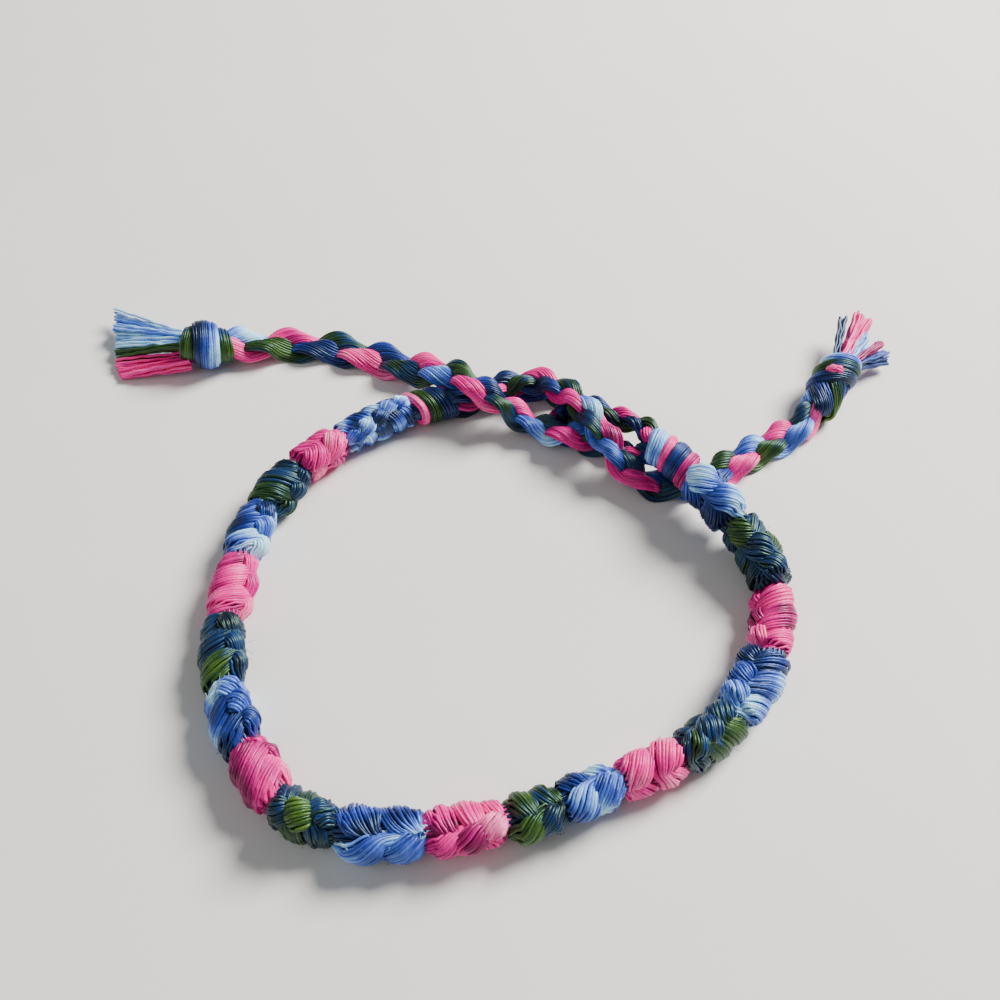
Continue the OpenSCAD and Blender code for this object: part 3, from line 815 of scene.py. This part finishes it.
def pinch(points, first, last):
    """Draws the plies in towards the band's middle where a run of hitches begins and ends."""
    near = np.argmin(np.linalg.norm(points[:, None] - band_line[None], axis=2), axis=1)
    edge = np.minimum(band_run[near] - first, last - band_run[near])
    away = points - band_line[near]
    reach = np.maximum(np.linalg.norm(away, axis=1), 1e-6)
    draw = PINCH * np.clip(1 - edge / PINCH_REACH, 0, 1.3) ** 2
    draw = np.minimum(draw, np.maximum(reach - PINCHED_RADIUS, 0))
    return points - away * (draw / reach)[:, None]


CARRIED_POINTS = 10
CARRIED_RADIUS = 1.56         # from the band's middle to the carried plies
CARRIED_PLY = 0.26            # radius of a carried ply
CARRIED_APART = 20            # degrees from one carried ply to the next
CARRIED_TWIST = 5             # degrees a mm
FILL_RADIUS = 1.5
# painted shade: the fill under the hitches and collars gets the darkest tone, so the gaps show dark
SHADE_FILL_TONE = 0.05
WAIST = 0.16                  # how much thinner the carried strands are at the ends of a run


def carried_strands(first, last, girth, kind):
    """The strands that a run is tied round: plies lying along the band and a fill under them, both in the
    darkest tones as painted shade in the gaps between hitches.
    """
    s = np.linspace(first, last, CARRIED_POINTS)
    middle, _ = on_band(s, np.zeros(CARRIED_POINTS), np.zeros(CARRIED_POINTS))
    waist = 1 - WAIST * np.abs(np.linspace(-1, 1, CARRIED_POINTS)) ** 3
    carried = [(middle, np.full(CARRIED_POINTS, SHADE_FILL_TONE), FILL_RADIUS * girth * waist, kind)]
    for angle in range(0, 360, CARRIED_APART):
        line, _ = on_band(s, angle + (s - first) * CARRIED_TWIST, CARRIED_RADIUS * girth * waist)
        # painted shade: the carried plies get only the darkest tones
        carried.append((line, np.full(CARRIED_POINTS, luck.uniform(0, 0.25)), CARRIED_PLY, kind))
    return carried


FIBRES_PER_RUN = 24
FIBRE_POINTS = 6
FIBRE_RADIUS = 0.022


def stray_fibre(plies):
    """A fine fibre worn loose from a ply, standing off it in a curl."""
    points, tones, _, kind = plies[luck.integers(len(plies))]
    start = luck.integers(4, len(points) - 4)
    root = points[start]
    away = root - band_line[np.argmin(np.linalg.norm(band_line - root, axis=1))]
    along = unit(points[start + 2] - root)
    t = np.linspace(0, 1, FIBRE_POINTS)[:, None]
    reach = luck.uniform(0.4, 1.2)
    line = root + along * t * reach + unit(away) * (t ** 0.7) * reach * luck.uniform(0.3, 0.8) \
        + luck.uniform(-0.5, 0.5, 3) * t ** 2 * reach
    line[:, 2] = np.maximum(line[:, 2], 0.03)
    return line, np.full(FIBRE_POINTS, min(tones[start] + 0.25, 1)), FIBRE_RADIUS, kind


PITCH_SPREAD = (0.88, 1.12)   # shortest and longest hitch, as shares of their mean
END_GIRTH = 0.91              # share of a run's girth at its ends
SWELL = 0.14                  # how much fuller its middle is
DYE_WAVE = 0.13               # change of tone along the strand
DYE_PACE = 0.85               # radians a mm of that change
SPOTS_ROUND = 3.5             # of the dye's spots, in a turn
SPOTS_START = 40              # degrees
for k, (name, family, _, turns, ridge, _, bump, cross, girth, painted_side_light, spots, tones) in enumerate(BAND):
    if not tones:
        continue
    first = ends[k]
    last = ends[k + 1]
    pitches = luck.uniform(*PITCH_SPREAD, turns)
    pitches *= (last - first) / pitches.sum()
    keys = smooth_line(hitch_keys(first, pitches, ridge, bump, cross), steps=KEY_STEPS)
    swell = END_GIRTH + SWELL * np.sin(np.pi * np.clip((keys[:, 0] - first) / (last - first), 0, 1))
    line, out = on_band(keys[:, 0], keys[:, 1], keys[:, 2] * girth * swell)
    dyed = [(i * KEYS_PER_HITCH + key) * KEY_STEPS for i in range(turns) for key in (TURN_KEY, BUMP_KEY)]
    # the tones of the turns and bumps are the dye's, with painted highlights among the pale ones
    tone = np.interp(np.arange(len(keys)), [0] + dyed, [tones[0]] + tones)
    # painted light and shade: one side of the run is made paler, the inner side where the value is
    # positive and the outer side where it is negative
    tone = tone - painted_side_light * 0.5 * np.cos(np.radians(keys[:, 1]))
    tone += DYE_WAVE * np.sin(run_of(line) * DYE_PACE + luck.uniform(0, 6)) \
        + spots * np.sin(np.radians(keys[:, 1] * SPOTS_ROUND + SPOTS_START))
    seats = rows_of(max(FEWEST_PLIES, int(pitches.mean() / PLY_SPACING)), 5)
    plies = []
    lay_bundle(plies, line, out, keys[:, 3], keys[:, 4], seats, tone, family,
               crown=0.3, loose=0.13, thick=BAND_PLY, uneven=0.13)
    plies = [(pinch(points, first, last), *rest) for points, *rest in plies]
    plies += [stray_fibre(plies) for _ in range(FIBRES_PER_RUN)]
    plies += carried_strands(first, last, girth, FAMILIES.index(family))
    block = twist_up("hitches_" + name, plies)
    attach(block, "root")
    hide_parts(name)


# The collars: floss wound round and round all the strands where the band ends,
# each turn in its own colour, leaning like the lay of a rope.

# each turn's family, tone and share of the collar's length
COLLARS = [
    ("left_collar", [("blue", 0.12, 1.25), ("green", 0.75, 1.1), ("pink", 0.75, 0.65)]),
    ("right_collar", [("pink", 0.3, 0.8), ("blue", 0.3, 1.3), ("pink", 0.7, 0.65), ("blue", 0.88, 1.25)]),
]
COLLAR_RADIUS = 1.97
COLLAR_START = 200            # degrees round the band where a turn begins
COLLAR_SWEEP = 400            # degrees that it goes round
COLLAR_CLIMB = 0.5            # how far along the band it goes, as a share of its pitch
COLLAR_DIVE = 0.5             # how far its ends dive under the turns beside it
COLLAR_DIVE_SHARE = 0.1       # share of the turn in which each end dives
COLLAR_FILL = 1.7             # radius of the strands under the turns
COLLAR_FILL_POINTS = 8
COLLAR_PLY_SPACING = 0.28
for name, colours in COLLARS:
    k = [row[NAME_COLUMN] for row in BAND].index(name)
    plies = []
    start = ends[k]
    whole = sum(share for _, _, share in colours)
    t = np.linspace(0, 1, TURN_POINTS)
    for family, tone, share in colours:
        pitch = (ends[k + 1] - ends[k]) * share / whole
        line, out = on_band(start + (0.5 + (t - 0.5) * COLLAR_CLIMB) * pitch,
                            COLLAR_START + COLLAR_SWEEP * t,
                            COLLAR_RADIUS - dive_of(t, COLLAR_DIVE, COLLAR_DIVE_SHARE))
        seats = rows_of(max(4, int(pitch / COLLAR_PLY_SPACING)), 3)
        lay_bundle(plies, line, out, pitch / 2 - 0.05, 0.2, seats, tone, family,
                   crown=0.22, loose=0.07, thick=PLY, uneven=0.14)
        start += pitch
    still = np.zeros(COLLAR_FILL_POINTS)
    core, _ = on_band(np.linspace(ends[k] + 0.02, ends[k + 1] - 0.02, COLLAR_FILL_POINTS), still, still)
    # painted shade: the collar's fill is in the darkest tone, so the gaps between its turns show dark
    fill = np.full(COLLAR_FILL_POINTS, SHADE_FILL_TONE)
    plies.append((core, fill, COLLAR_FILL, FAMILIES.index(colours[0][0])))
    collar = twist_up("wraps_" + name, plies)
    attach(collar, "root")
    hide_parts(name)


# The braided loop: the folded start of all the strands, plaited and bent back
# into the right collar. The left tie turns back through it. Floss, braided by hand.

# shares of the loop's length, of its width and of the collar's height
LOOP_STATIONS = [
    [.04, .22, .94], [.14, .42, .90], [.29, .52, .80], [.45, .44, .73], [.61, .36, .73], [.78, .30, .72],
    [.92, .16, .60], [1, -.06, .38], [.98, -.30, .20], [.88, -.42, .20], [.74, -.46, .20],
    [.60, -.38, .20], [.45, -.24, .20], [.31, -.14, .26], [.20, -.14, .42], [.11, -.17, .62],
    [.04, -.19, .79],
]
LOOP_LENGTH = 13.2
LOOP_WIDTH = 5
LOOP_THICKNESS = 1.9
LOOP_BRAID_WIDTH = LOOP_THICKNESS + 0.9
LOOP_ROOT = 1.6               # how far both legs go into the collar
LOOP_WIDTHS = [[0, 1], [1, 1]]
LOOP_REPEAT = [[0, 11], [1, 11]]
LOOP_STRANDS = [
    ("pink", [[0, 0.35], [0.5, 0.2], [1, 0.3]]),
    ("green", [[0, 0.8], [0.3, 0.7], [0.6, 0.3], [1, 0.6]]),
    ("blue", [[0, 0.3], [0.5, 0.15], [1, 0.2]]),
]
mouth = band_line[-1]
loop_way = mouth - at(band_line, band_run, band_run[-1] - HEADING_STEP)
loop_ahead = unit(np.array([loop_way[0], loop_way[1], 0.0]))
loop_aside = np.array([loop_ahead[1], -loop_ahead[0], 0.0])
loop_line = [np.array([mouth[0], mouth[1], 0]) + a * LOOP_LENGTH * loop_ahead + b * LOOP_WIDTH * loop_aside
             + [0, 0, max(c * mouth[2], LOOP_THICKNESS / 2)] for a, b, c in LOOP_STATIONS]
loop_root = loop_ahead * LOOP_ROOT
loop_line = [loop_line[0] - loop_root] + loop_line + [loop_line[-1] - loop_root]
loop_plies = []
braid(loop_plies, loop_line, LOOP_BRAID_WIDTH, LOOP_THICKNESS, LOOP_WIDTHS, LOOP_REPEAT,
      phase=0.2, strands=LOOP_STRANDS, seats=rows_of(5, 3))
loop = twist_up("loop", loop_plies)
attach(loop, "root")
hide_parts("braided_loop")
